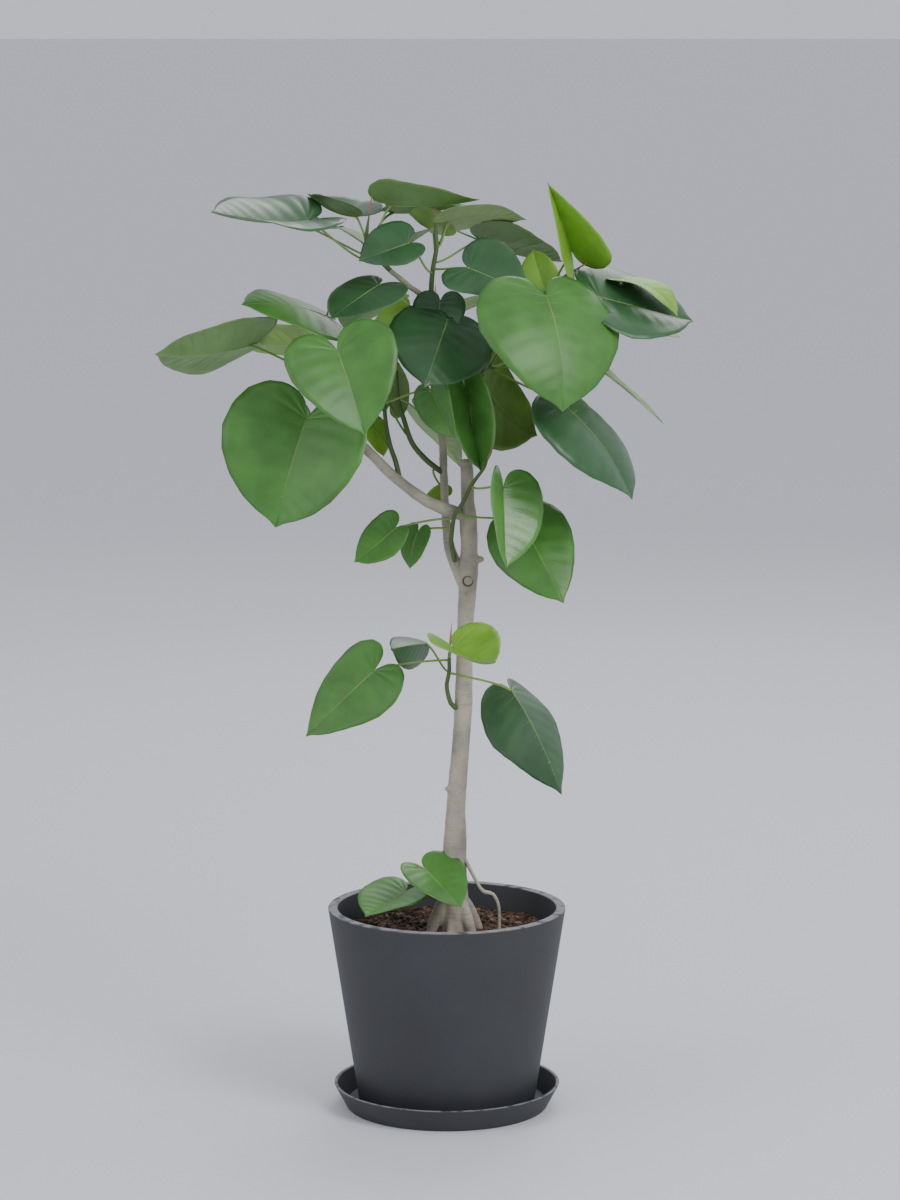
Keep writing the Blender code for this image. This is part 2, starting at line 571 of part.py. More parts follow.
foliage("low_foliage",
        [(20, 0, 511, 3.4), (10, -8, 512, 3.3), (5, -12, 518, 3), (1, -14, 531.5, 2.8), (0, -14, 543.5, 2.7),
         (3, -14, 557.5, 2.6), (3, -14, 573.5, 2.4), (4, -14, 590, 1.2)],
        [Leaf(573, (-91, -20, 560), 118, -176, -44, -41, 1, -17, 4, 0.84, 0.9),
         Leaf(558, (-26, 20, 588), 67, -131, 1, -61, -48, -14, 30, 0.87, 0.1),
         Leaf(577, (8, -60, 596), 81, -50, -6, 5, 26, 7, -50, 1.12, 0.5),
         Leaf(557, (80, -40, 539), 151, -50, -51, 27, -46, -6, 52, 0.68, 0.5)],
        TRUNK, TRUNK_SIDES)

foliage("foot_foliage",
        [(7, -4, 262, 2.6), (-2, -20, 274, 2.4), (-14, -26, 287, 2.2), (-21, -28, 296, 1.4)],
        [Leaf(266, (-53, -10, 277), 76, -131, -15, -3, 20, -33, 0, 1.02, 0.1),
         Leaf(282, (-28, -30, 311), 74, -42, -33, 12, 11, 10, 6, 0.97, 0.3)],
        TRUNK, TRUNK_SIDES)
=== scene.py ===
"""The potted ficus umbellata as it looks: charcoal pot, bark soil, forked trunk and heart-shaped leaves."""
import math
import random
from collections import namedtuple

import bmesh
import bpy
import numpy as np
from mathutils import Matrix, Vector, noise


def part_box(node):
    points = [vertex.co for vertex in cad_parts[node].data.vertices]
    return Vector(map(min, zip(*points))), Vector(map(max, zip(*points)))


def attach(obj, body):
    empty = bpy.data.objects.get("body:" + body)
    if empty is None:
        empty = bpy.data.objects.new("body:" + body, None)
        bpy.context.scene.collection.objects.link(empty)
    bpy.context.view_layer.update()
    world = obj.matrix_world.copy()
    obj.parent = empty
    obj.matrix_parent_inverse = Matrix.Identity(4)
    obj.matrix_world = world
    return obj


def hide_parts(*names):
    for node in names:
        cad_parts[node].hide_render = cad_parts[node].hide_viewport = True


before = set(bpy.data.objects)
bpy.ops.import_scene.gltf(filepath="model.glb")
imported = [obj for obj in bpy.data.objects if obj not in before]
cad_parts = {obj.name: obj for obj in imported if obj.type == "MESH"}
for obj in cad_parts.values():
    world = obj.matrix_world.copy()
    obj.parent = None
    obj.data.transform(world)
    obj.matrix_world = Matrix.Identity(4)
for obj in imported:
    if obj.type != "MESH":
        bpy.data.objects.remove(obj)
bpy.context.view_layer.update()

# The stage
# A wide pale floor under plain soft studio light: a large soft lamp at the front right, weaker ones at the
# left and behind, and an even pale surround. The camera stands above the crown and looks slightly down.
CAMERA_PLACE = (0.004, -4.745, 1.359)
CAMERA_FALL = 8.54               # degrees below level
CAMERA_LENS = 115.56
SENSOR_WIDTH = 36
FLOOR_SIDE = 600
FLOOR_ROUGHNESS = 0.7
FLOOR_COLOUR = (0.74, 0.74, 0.77)
SURROUND = (0.80, 0.82, 0.90)
SURROUND_STRENGTH = 0.85

camera_data = bpy.data.cameras.new("studio_camera")
camera_data.lens = CAMERA_LENS
camera_data.sensor_width = SENSOR_WIDTH
camera = bpy.data.objects.new("studio_camera", camera_data)
camera.location = CAMERA_PLACE
camera.rotation_euler = (math.radians(90 - CAMERA_FALL), 0, 0)
bpy.context.scene.collection.objects.link(camera)
bpy.context.scene.camera = camera


def soft_lamp(name, place, aim, side, power):
    """A square soft lamp that faces the point it is aimed at."""
    lamp_data = bpy.data.lights.new(name, "AREA")
    lamp_data.size = side
    lamp_data.energy = power
    lamp = bpy.data.objects.new(name, lamp_data)
    lamp.location = place
    lamp.rotation_euler = (Vector(aim) - Vector(place)).to_track_quat("-Z", "Y").to_euler()
    bpy.context.scene.collection.objects.link(lamp)


soft_lamp("key_lamp", place=(2.4, -2.6, 3.0), aim=(0, 0, 0.7), side=1.8, power=95)
soft_lamp("fill_lamp", place=(-3.2, -2.0, 2.0), aim=(0, 0, 0.7), side=2.5, power=30)
soft_lamp("back_lamp", place=(0.8, 3.2, 3.2), aim=(0, 0, 0.8), side=2.0, power=45)

surround = bpy.data.worlds.new("pale_surround")
surround.use_nodes = True
surround.node_tree.nodes["Background"].inputs["Color"].default_value = (*SURROUND, 1)
surround.node_tree.nodes["Background"].inputs["Strength"].default_value = SURROUND_STRENGTH
bpy.context.scene.world = surround


class Value:
    """A shader value that can be written in sums and products."""

    def __init__(self, finish, socket):
        self.finish = finish
        self.socket = socket

    def maths(self, operation, first, second):
        """The result of one Math node."""
        return self.finish.node("ShaderNodeMath", {"operation": operation}, {0: first, 1: second})["Value"]

    def __add__(self, other):
        return self.maths("ADD", self, other)

    def __radd__(self, other):
        return self.maths("ADD", other, self)

    def __sub__(self, other):
        return self.maths("SUBTRACT", self, other)

    def __rsub__(self, other):
        return self.maths("SUBTRACT", other, self)

    def __mul__(self, other):
        return self.maths("MULTIPLY", self, other)

    def __rmul__(self, other):
        return self.maths("MULTIPLY", other, self)

    def clear(self, low, high):
        """0 below low, 1 above high and a straight rise between."""
        return self.finish.node("ShaderNodeMapRange", {}, {"Value": self, "From Min": low,
                                                           "From Max": high})["Result"]


class Finish:
    """A material whose nodes are added one by one."""

    def __init__(self, name, colour, roughness):
        self.material = bpy.data.materials.new(name)
        self.material.use_nodes = True
        self.tree = self.material.node_tree
        self.shader = self.tree.nodes["Principled BSDF"]
        self.shader.inputs["Base Color"].default_value = (*colour, 1)
        self.shader.inputs["Roughness"].default_value = roughness

    def node(self, kind, settings, sockets):
        """Any node: its settings, then its sockets' values or links. Gives its outputs by name and number."""
        made = self.tree.nodes.new(kind)
        for key, setting in settings.items():
            setattr(made, key, setting)
        for key, given in sockets.items():
            if isinstance(given, Value):
                self.tree.links.new(given.socket, made.inputs[key])
            else:
                made.inputs[key].default_value = given
        outputs = {}
        for number, output in enumerate(made.outputs):
            outputs[number] = outputs[output.name] = Value(self, output)
        return outputs

    def grain(self, scale, detail=4, stretch=(1, 1, 1)):
        """Cloudy noise in the plant's own space."""
        place = self.node("ShaderNodeTexCoord", {}, {})["Object"]
        place = self.node("ShaderNodeMapping", {}, {"Vector": place, "Scale": stretch})["Vector"]
        return self.node("ShaderNodeTexNoise", {}, {"Vector": place, "Scale": scale, "Detail": detail})["Fac"]

    def between(self, share, first, second):
        """A colour between two, by a share from 0 to 1; each is a colour or another mix."""
        pair = [colour if isinstance(colour, Value) else (*colour, 1) for colour in (first, second)]
        mixed = self.node("ShaderNodeMix", {"data_type": "RGBA"}, {0: share, 6: pair[0], 7: pair[1]})
        return mixed[2]

    def paint(self, socket, value):
        """Feed one of the shader's sockets."""
        self.tree.links.new(value.socket, self.shader.inputs[socket])

    def relief(self, height, depth, strength=1.0):
        """Fine relief from a height value, depth in metres."""
        bump = self.node("ShaderNodeBump", {}, {"Height": height, "Distance": depth, "Strength": strength})
        self.paint("Normal", bump["Normal"])


def add_mesh(name, verts, faces, finishes, slots=None):
    """One smooth object from points and faces, with its materials."""
    mesh = bpy.data.meshes.new(name)
    mesh.from_pydata([tuple(v) for v in verts], [], faces)
    for finish in finishes:
        mesh.materials.append(finish.material)
    if slots is not None:
        mesh.polygons.foreach_set("material_index", slots)
    mesh.shade_smooth()
    thing = bpy.data.objects.new(name, mesh)
    bpy.context.scene.collection.objects.link(thing)
    return thing


def settle(thing, slot, *nodes):
    """The piece rides with the plant and stands for the nodes; the slot is not used."""
    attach(thing, "root")
    if nodes:
        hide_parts(*nodes)


floor_finish = Finish("pale_floor", FLOOR_COLOUR, FLOOR_ROUGHNESS)
half = FLOOR_SIDE / 2
floor_corners = [(-half, -half, 0), (half, -half, 0), (half, half, 0), (-half, half, 0)]
floor = add_mesh("floor", floor_corners, [(0, 1, 2, 3)], [floor_finish])

# Saucer and pot
# Moulded charcoal ware with a matt, slightly chalky skin. The pot is a plain taper with a thick flat rim
# whose edge has worn paler, and it stands in a shallow flared saucer.
SEGMENTS = 128
CORNER_ANGLE = 30                # corners sharper than this are eased
SMOOTH_ANGLE = 50                # faces meeting flatter than this are shaded as one
EASING_STEPS = 3
saucer_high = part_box("saucer")[1]
SAUCER_RADIUS = saucer_high[0]
SAUCER_HEIGHT = saucer_high[2]
SAUCER_FLARE = 0.016             # how much wider the rim is than the foot
SAUCER_FOOT = SAUCER_RADIUS - SAUCER_FLARE
SAUCER_WALL = 0.0045
SAUCER_INNER_FOOT = SAUCER_FOOT - SAUCER_WALL + SAUCER_FLARE / SAUCER_HEIGHT * SAUCER_WALL
SAUCER_EASING = 0.0012
pot_low, pot_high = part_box("pot")
POT_RADIUS = pot_high[0]
POT_TOP = pot_high[2]
POT_FOOT = pot_low[2]
POT_FOOT_RADIUS = 0.111
POT_WALL = 0.012
POT_FLOOR = 0.014
POT_INNER_FOOT = 0.101
POT_EASING = 0.0013
DRAIN_RADIUS = 0.010
CHARCOAL = (0.029, 0.031, 0.035)
CHARCOAL_CLOUDS = tuple(1.35 * c for c in CHARCOAL)
WORN_EDGE = (0.21, 0.21, 0.215)
WEAR_REACH = 0.0012              # how far down from the rim the wear goes
PIT_DEPTH = 0.0004


def ware_finish(name, edge_height):
    """Matt charcoal, cloudy and finely pitted, worn paler above the given height."""
    ware = Finish(name, CHARCOAL, 0.6)
    cloud = ware.grain(scale=9, detail=5)
    pits = ware.grain(scale=420, detail=3)
    chips = ware.grain(scale=60, detail=6)
    place = ware.node("ShaderNodeTexCoord", {}, {})["Object"]
    height = ware.node("ShaderNodeSeparateXYZ", {}, {"Vector": place})["Z"]
    worn = height.clear(edge_height - WEAR_REACH, edge_height) * chips.clear(0.36, 0.52)
    body = ware.between(cloud.clear(0.3, 0.7), CHARCOAL, CHARCOAL_CLOUDS)
    ware.paint("Base Color", ware.between(worn, body, WORN_EDGE))
    ware.paint("Roughness", 0.52 + 0.2 * cloud)
    ware.relief(pits + 0.5 * chips, PIT_DEPTH, strength=0.5)
    return ware


def turned(name, profile, finish, soften):
    """A round piece turned from a closed profile, its corners eased."""
    bm = bmesh.new()
    points = [bm.verts.new((radius, 0, height)) for radius, height in profile]
    edges = [bm.edges.new(pair) for pair in zip(points, points[1:])]
    if profile[0][0] > 0:
        edges.append(bm.edges.new((points[-1], points[0])))
    bmesh.ops.spin(bm, geom=points + edges, cent=(0, 0, 0), axis=(0, 0, 1), angle=math.tau, steps=SEGMENTS,
                   use_merge=True)
    bmesh.ops.remove_doubles(bm, verts=bm.verts, dist=1e-6)
    bmesh.ops.recalc_face_normals(bm, faces=bm.faces)
    mesh = bpy.data.meshes.new(name)
    bm.to_mesh(mesh)
    bm.free()
    mesh.materials.append(finish.material)
    thing = bpy.data.objects.new(name, mesh)
    bpy.context.scene.collection.objects.link(thing)
    bevel = thing.modifiers.new("eased_corners", "BEVEL")
    bevel.width = soften
    bevel.segments = EASING_STEPS
    bevel.limit_method = "ANGLE"
    bevel.angle_limit = math.radians(CORNER_ANGLE)
    mesh.shade_smooth()
    mesh.set_sharp_from_angle(angle=math.radians(SMOOTH_ANGLE))
    return thing


saucer = turned("charcoal_saucer",
                [(0, 0), (SAUCER_FOOT, 0), (SAUCER_RADIUS, SAUCER_HEIGHT),
                 (SAUCER_RADIUS - SAUCER_WALL, SAUCER_HEIGHT), (SAUCER_INNER_FOOT, SAUCER_WALL),
                 (0, SAUCER_WALL)],
                ware_finish("charcoal_saucer", SAUCER_HEIGHT), SAUCER_EASING)
settle(saucer, "charcoal", "saucer")
pot = turned("charcoal_pot",
             [(DRAIN_RADIUS, POT_FOOT), (POT_FOOT_RADIUS, POT_FOOT), (POT_RADIUS, POT_TOP),
              (POT_RADIUS - POT_WALL, POT_TOP), (POT_INNER_FOOT, POT_FOOT + POT_FLOOR),
              (DRAIN_RADIUS, POT_FOOT + POT_FLOOR)],
             ware_finish("charcoal_pot", POT_TOP), POT_EASING)
settle(pot, "charcoal", "pot")

# Soil
# A coarse potting mix of broken bark: a lumpy dark bed that fills the pot and banks up a little towards the
# right back, with loose chips of mixed browns lying on it.
SOIL_SEED = 7
SOIL_TOP = 0.225
SOIL_RADIUS = 0.1325
BED_DROP = 0.0012                # the bed lies this much under the soil's top, and its chips make up the rest
BED_BANK = 0.0035
BED_LUMPS = ((0.0030, 55), (0.0018, 140))    # height, and how closely they lie
BED_RINGS = 70
BED_SIDES = 160
BED_FOOT_RADIUS = POT_FOOT_RADIUS - POT_WALL
BED_FOOT = POT_FOOT + POT_FLOOR + 0.001
CRUMB_DEPTH = 0.003
CHIP_COUNT = 1500
CHIP_COLOURS = [(0.115, 0.058, 0.032), (0.055, 0.030, 0.020), (0.19, 0.115, 0.07), (0.028, 0.018, 0.014)]
CHIP_SIZES = (0.0016, 0.0022, 0.003, 0.0045)
CHIP_SHAPE = ((0.8, 1.5), (0.4, 0.8),
             (0.2, 0.45))    # ranges of its length, width and depth, shares of its size
CHIP_SIDES = 6
CHIP_TILT = 0.45
CHIP_CORNERS = (0.7, 1.1)
CHIP_TOP = 0.8                   # its upper face against its lower one
CHIP_SKEW = 0.3
CHIP_LIFT = 0.3
CHIP_MARGIN = 0.007              # clear ring inside the pot's wall
CHIP_GRAIN_DEPTH = 0.001

rng = random.Random(SOIL_SEED)


def soil_height(x, y):
    """The bed's height: lumpy, and banked up a little towards the right back."""
    lumps = sum(height * noise.noise(Vector((x, y, 0)) * closeness) for height, closeness in BED_LUMPS)
    return SOIL_TOP - BED_DROP + lumps + BED_BANK * (x + y) / SOIL_RADIUS / 2


def bed_ring(radius, level=None):
    """The points of one ring of the bed, level or, where no level is given, as high as the soil lies."""
    points = []
    for k in range(BED_SIDES):
        turn = math.tau * k / BED_SIDES
        x, y = radius * math.cos(turn), radius * math.sin(turn)
        points.append((x, y, soil_height(x, y) if level is None else level))
    return points


bed = [(0, 0, soil_height(0, 0))]
for ring in range(1, BED_RINGS + 1):
    bed += bed_ring(SOIL_RADIUS * ring / BED_RINGS)
bed += bed_ring(BED_FOOT_RADIUS, BED_FOOT)
bed.append((0, 0, BED_FOOT))
bed_faces = [(0, 1 + k, 1 + (k + 1) % BED_SIDES) for k in range(BED_SIDES)]
for ring in range(BED_RINGS):
    for k in range(BED_SIDES):
        a, b = 1 + ring * BED_SIDES + k, 1 + ring * BED_SIDES + (k + 1) % BED_SIDES
        bed_faces.append((a, a + BED_SIDES, b + BED_SIDES, b))
base = 1 + BED_RINGS * BED_SIDES
bed_faces += [(len(bed) - 1, base + (k + 1) % BED_SIDES, base + k) for k in range(BED_SIDES)]
mix = Finish("potting_mix", CHIP_COLOURS[1], 0.95)
crumbs = mix.grain(scale=260, detail=5)
mix.paint("Base Color", mix.between(crumbs.clear(0.35, 0.65), CHIP_COLOURS[3], CHIP_COLOURS[0]))
mix.relief(crumbs, CRUMB_DEPTH)
soil = add_mesh("potting_mix_bed", bed, bed_faces, [mix])
settle(soil, "soil", "soil")


def bark_chip(verts, faces, place, size):
    """One broken flake of bark: a squashed lump with uneven corners."""
    turn = Matrix.Rotation(rng.uniform(0, math.tau), 3, "Z")
    turn = turn @ Matrix.Rotation(rng.gauss(0, CHIP_TILT), 3, "X")
    length, width, depth = (size * rng.uniform(*shares) for shares in CHIP_SHAPE)
    low = range(len(verts), len(verts) + CHIP_SIDES)
    high = range(low.stop, low.stop + CHIP_SIDES)
    for level in (-1, 1):
        for k in range(CHIP_SIDES):
            way = math.tau * k / CHIP_SIDES
            out = rng.uniform(*CHIP_CORNERS) * (CHIP_TOP if level > 0 else 1)
            corner = Vector((length * out * math.cos(way), width * out * math.sin(way),
                             depth * (level + rng.uniform(-CHIP_SKEW, CHIP_SKEW))))
            verts.append(Vector(place) + turn @ corner)
    faces.append(tuple(reversed(low)))
    faces.append(tuple(high))
    for k in range(CHIP_SIDES):
        after = (k + 1) % CHIP_SIDES
        faces.append((low[k], low[after], high[after], high[k]))


for number, colour in enumerate(CHIP_COLOURS):
    verts, faces = [], []
    for _ in range(CHIP_COUNT // len(CHIP_COLOURS)):
        reach = (SOIL_RADIUS - CHIP_MARGIN) * math.sqrt(rng.random())
        turn = rng.uniform(0, math.tau)
        x, y = reach * math.cos(turn), reach * math.sin(turn)
        size = rng.choice(CHIP_SIZES)
        bark_chip(verts, faces, (x, y, soil_height(x, y) + CHIP_LIFT * size), size)
    chip = Finish("bark_chips_%d" % number, colour, 0.9)
    shade = chip.grain(scale=300, detail=4)
    dark, light = tuple(0.55 * c for c in colour), tuple(1.3 * c for c in colour)
    chip.paint("Base Color", chip.between(shade.clear(0.3, 0.7), dark, light))
    chip.relief(shade, CHIP_GRAIN_DEPTH, strength=0.6)
    chips = add_mesh("bark_chips_%d" % number, verts, faces, [chip])
    chips.data.shade_flat()
    settle(chips, "soil")

# Trunk, boughs and roots
# Pale grey-beige bark, thin, with fine cross wrinkles and small warts; the youngest boughs are still green.
# Roots and knobs grow out of the trunk as one skin, and an arching root leaves it above the soil. A limb's
# knots are rows of x, y, z and radius in millimetres.
MM = 0.001
BARK_PALE = (0.46, 0.41, 0.325)
BARK_GREY = (0.25, 0.235, 0.19)
BARK_GREEN = (0.17, 0.19, 0.105)
SCAR_BROWN = (0.13, 0.055, 0.03)
TRUNK = [(11, 0, 205, 22), (10, 0, 245, 19.5), (9, 0, 290, 16.5), (10, 0, 328, 15), (12, 0, 393, 12),
         (18, 0, 469, 11), (21, 0, 520, 11.2), (22.5, 0, 600, 10), (25, 0, 646, 11), (26.5, 0, 680, 12.4),
         (28, 0, 715, 10.8), (26.5, 0, 747, 11), (26, 0, 775, 8.3), (24.5, 0, 823, 7.8)]
LEADER = [(25, 0, 655, 7.5), (13, 4, 686, 8), (4, 10, 709, 7.2), (0, 14, 735, 5.9), (-2, 16, 760, 5.3),
          (-4, 17, 810, 5.2), (-7, 19, 870, 5), (-15, 21, 969, 4.1), (-19, 22, 1031, 3.4)]
LEFT_BOUGH = [(24, 0, 751, 7), (6, -9, 759, 8.3), (-8, -15, 765, 7.8), (-27, -17, 774, 7.2),
              (-64, -15, 802, 6.7), (-100, -13, 837, 6.3), (-117, -12, 852, 5.6)]
RIGHT_BOUGH = [(-7, 19, 865, 4.4), (10, 12, 889, 4.4), (26, 6, 911, 4.2), (41, 2, 928, 3.8),
               (47, 1, 935, 3.6)]
UPPER_LEFT_BOUGH = [(-18, 22, 1012, 3.8), (-33, 20, 1026, 3.8), (-48, 16, 1037, 3.7), (-76, 10, 1061, 3.4)]
ARCHING_ROOT = [(16, -2, 330, 2.6), (31, -12, 303, 2.3), (42, -20, 284, 2.1), (49, -22, 279, 2.8),
                (58, -24, 277, 2.1), (65, -26, 262, 2), (66, -28, 232, 1.9), (66, -28, 215, 1.9)]
ROOT_FLARE = [(205, 40, 268, 9), (250, 26, 258, 6), (318, 34, 262, 8), (20, 36, 262, 9), (85, 38, 265, 9),
              (145, 36, 262, 8)]
KNOBS = [(697, -8, 19, 4.5), (407, 200, 16.5, 3.2), (672, -85, 13.6, 6.5), (758, 100, 14, 4)]
ROOT_SHARES = (0.15, 0.55, 0.85)     # of a root's reach: under the bark, down the slope and at the soil
ROOT_RISE = 12
ROOT_DIP = 16
ROOT_TIP = (212, 3.5)            # height and radius of its end
TRUNK_STEP = 0.008
LIMB_STEP = 0.006
FINE_STEP = 0.004
LIMB_SIDES = 24
ARCHING_ROOT_SIDES = 14
BARK_VOXEL = 0.0016
BARK_SMOOTHING = 5
WRINKLE_HEIGHT = 0.00022
WRINKLES_ROUND = 50
WRINKLES_ALONG = 260
LUMP_HEIGHT = 0.0006
LUMP_CLOSENESS = 70
BARK_DEPTH = 0.0012
YOUNG_GREEN = 0.75               # how far the youngest boughs are still green


def curve_through(knots, step):
    """Smooth line through the knots, as (place, radius) pairs about a step apart, in metres."""
    places = [Vector(knot[:3]) * MM for knot in knots]
    radii = [knot[3] * MM for knot in knots]
    places = [2 * places[0] - places[1]] + places + [2 * places[-1] - places[-2]]
    line = []
    for i in range(len(knots) - 1):
        before, start, end, after = places[i:i + 4]
        parts = max(1, round((end - start).length / step))
        for k in range(parts):
            t = k / parts
            place = 0.5 * (2 * start + (end - before) * t
                           + (2 * before - 5 * start + 4 * end - after) * t ** 2
                           + (3 * start - before - 3 * end + after) * t ** 3)
            ease = t * t * (3 - 2 * t)
            line.append((place, radii[i] * (1 - ease) + radii[i + 1] * ease))
    line.append((places[-2], radii[-1]))
    return line


def add_tube(verts, faces, line, sides):
    """A closed tube along the line, added to lists of points and faces."""
    side = Vector((1, 0, 0.01))
    last = len(line) - 1
    start = len(verts)
    for i, (place, radius) in enumerate(line):
        along = (line[min(i + 1, last)][0] - line[max(i - 1, 0)][0]).normalized()
        side = (side - along * side.dot(along)).normalized()
        up = along.cross(side)
        for k in range(sides):
            turn = math.tau * k / sides
            verts.append(place + radius * (math.cos(turn) * side + math.sin(turn) * up))
    for i in range(last):
        for k in range(sides):
            a, b = start + i * sides + k, start + i * sides + (k + 1) % sides
            faces.append((a, b, b + sides, a + sides))
    faces.append(tuple(start + k for k in reversed(range(sides))))
    faces.append(tuple(start + last * sides + k for k in range(sides)))


def bark_finish(name, green):
    """Pale bark with darker cross wrinkles and warts; green is how far a young limb is still green."""
    bark = Finish(name, BARK_PALE, 0.72)
    blotch = bark.grain(scale=26, detail=5)
    wrinkle = bark.grain(scale=60, detail=6, stretch=(1, 1, 6))
    warts = bark.grain(scale=330, detail=2)
    pale = tuple(a + green * (b - a) for a, b in zip(BARK_PALE, BARK_GREEN))
    tone = bark.between(blotch.clear(0.40, 0.68), pale, BARK_GREY)
    tone = bark.between(wrinkle.clear(0.56, 0.72) * 0.55, tone, BARK_GREY)
    bark.paint("Base Color", bark.between(warts.clear(0.66, 0.74) * 0.6, tone, SCAR_BROWN))
    bark.relief(wrinkle + 0.4 * warts, BARK_DEPTH, strength=0.7)
    return bark


def bark_limb(name, lines, finish, node):
    """One limb from overlapping tubes, blended into a single skin with the bark's relief in its mesh."""
    verts, faces = [], []
    for line in lines:
        add_tube(verts, faces, line, LIMB_SIDES)
    limb = add_mesh(name, verts, faces, [finish])
    blend = limb.modifiers.new("blended_skin", "REMESH")
    blend.mode = "VOXEL"
    blend.voxel_size = BARK_VOXEL
    smooth = limb.modifiers.new("smoothed_skin", "SMOOTH")
    smooth.iterations = BARK_SMOOTHING
    view = bpy.context.evaluated_depsgraph_get()
    skin = bpy.data.meshes.new_from_object(limb.evaluated_get(view))
    limb.modifiers.clear()
    limb.data = skin
    for vert in skin.vertices:
        x, y, z = vert.co
        wrinkle = noise.noise(Vector((x * WRINKLES_ROUND, y * WRINKLES_ROUND, z * WRINKLES_ALONG)))
        lump = noise.noise(vert.co * LUMP_CLOSENESS)
        vert.co += vert.normal * (WRINKLE_HEIGHT * wrinkle + LUMP_HEIGHT * lump)
    skin.shade_smooth()
    settle(limb, "bark", node)


def trunk_middle(height):
    """The trunk's middle at a height in millimetres."""
    for low, high in zip(TRUNK, TRUNK[1:]):
        if low[2] <= height <= high[2]:
            share = (height - low[2]) / (high[2] - low[2])
            return tuple(a + share * (b - a) for a, b in zip(low[:2], high[:2]))
    return TRUNK[0][:2]


def reach_out(middle, heading, reach):
    """A place at a heading and distance from a middle point, in millimetres."""
    turn = math.radians(heading)
    return middle[0] + reach * math.cos(turn), middle[1] + reach * math.sin(turn)


trunk_lines = [curve_through(TRUNK, TRUNK_STEP)]
foot = trunk_middle(SOIL_TOP / MM)
for heading, reach, leave, radius in ROOT_FLARE:
    under_bark, slope, soil_line = (reach_out(foot, heading, share * reach) for share in ROOT_SHARES)
    root = [(*under_bark, leave + ROOT_RISE, 0.8 * radius), (*slope, leave - ROOT_DIP, radius),
            (*soil_line, SOIL_TOP / MM, 0.75 * radius), (*reach_out(foot, heading, reach), *ROOT_TIP)]
    trunk_lines.append(curve_through(root, LIMB_STEP))
for height, heading, reach, radius in KNOBS:
    middle = trunk_middle(height)
    knob = [(*middle, height, radius), (*reach_out(middle, heading, 0.8 * reach), height + 1, radius),
            (*reach_out(middle, heading, reach), height + 1.5, 0.75 * radius)]
    trunk_lines.append(curve_through(knob, FINE_STEP))
old_bark = bark_finish("old_bark", 0)
young_bark = bark_finish("young_bark", YOUNG_GREEN)
bark_limb("trunk_bark", trunk_lines, old_bark, "trunk")
bark_limb("leader_bark", [curve_through(LEADER, LIMB_STEP)], old_bark, "leader")
bark_limb("left_bough_bark", [curve_through(LEFT_BOUGH, LIMB_STEP)], old_bark, "left_bough")
bark_limb("right_bough_bark", [curve_through(RIGHT_BOUGH, LIMB_STEP)], young_bark, "right_bough")
upper_left_line = curve_through(UPPER_LEFT_BOUGH, LIMB_STEP)
bark_limb("upper_left_bough_bark", [upper_left_line], young_bark, "upper_left_bough")
verts, faces = [], []
add_tube(verts, faces, curve_through(ARCHING_ROOT, FINE_STEP), ARCHING_ROOT_SIDES)
arching_root = add_mesh("arching_root_bark", verts, faces, [old_bark])
settle(arching_root, "bark", "arching_root")

# Scar
# Where an old shoot was cut from the front of the trunk, the bark has healed into a raised red-brown ring
# about a tan middle. Both are let into the trunk's skin.
SCAR_HEIGHT = 672                # millimetres
SCAR_RADIUS = 0.0058
SCAR_RIM = 0.0012
SCAR_SUNK = 0.0005
SCAR_BACK = 0.002
SCAR_DOME = (0.0005, 0.003)      # how far the middle stands out, and how wide it still is there
SCAR_RING_PARTS = 32
SCAR_RING_SIDES = 8
SCAR_MIDDLE_SIDES = 24
SCAR_TAN = (0.42, 0.30, 0.17)
SCAR_GRAIN_DEPTH = 0.0006


def scar_finish(name, colour):
    """Dry healed wood with a fine grain."""
    scar = Finish(name, colour, 0.8)
    scar.relief(scar.grain(scale=500), SCAR_GRAIN_DEPTH, strength=0.6)
    return scar


trunk_place, trunk_radius = min(trunk_lines[0], key=lambda knot: abs(knot[0].z - SCAR_HEIGHT * MM))
scar_place = trunk_place + Vector((0, -(trunk_radius - SCAR_SUNK), 0))
ring_line = []
for k in range(SCAR_RING_PARTS + 1):
    turn = math.tau * k / SCAR_RING_PARTS
    ring_line.append((scar_place + SCAR_RADIUS * Vector((math.cos(turn), 0, math.sin(turn))), SCAR_RIM))
verts, faces = [], []
add_tube(verts, faces, ring_line, SCAR_RING_SIDES)
settle(add_mesh("scar_ring", verts, faces, [scar_finish("scar_ring", SCAR_BROWN)]), "bark")
verts, faces = [], []
middle_line = [(scar_place + Vector((0, SCAR_BACK, 0)), SCAR_RADIUS), (scar_place, SCAR_RADIUS),
               (scar_place - Vector((0, SCAR_DOME[0], 0)), SCAR_DOME[1])]
add_tube(verts, faces, middle_line, SCAR_MIDDLE_SIDES)
settle(add_mesh("scar_middle", verts, faces, [scar_finish("scar_middle", SCAR_TAN)]), "bark")

# Shoots, stalks and leaves
# Each green shoot ends in a sheathed bud and carries long-stalked leaves. A blade is heart-shaped, folded on
# its midrib and quilted between its side veins. Tones are dealt out leaf by leaf: deep, mid, bright young
# green, pale undersides, olive as painted light shining through the blade, and glossy.
BACK_SEED = 11
BACK_SIZE = (0.80, 0.92)
BACK_TURN = 9
VIEW_FALL = 0.15                 # how much lower a back leaf hangs for each metre that it stands behind
POINT_TAPER = 0.42
STALK_RADIUS = 0.0014
STALK_KNUCKLE = 0.0019
STALK_BOW = 0.28
STALK_FOLLOW = 0.5
STALK_PARTS = 16
STALK_SIDES = 8
JOINT_SWELL = 0.15               # share of the stalk that swells towards the blade
FOOT_SWELL = 0.08                # and towards the shoot
SHOOT_STEP = 0.006
SHOOT_SIDES = 12
STALK_LEAVE_STEP = 0.020         # the solids' own step along a shoot, so that stalks leave it where theirs do
BUD_LENGTH = 0.030
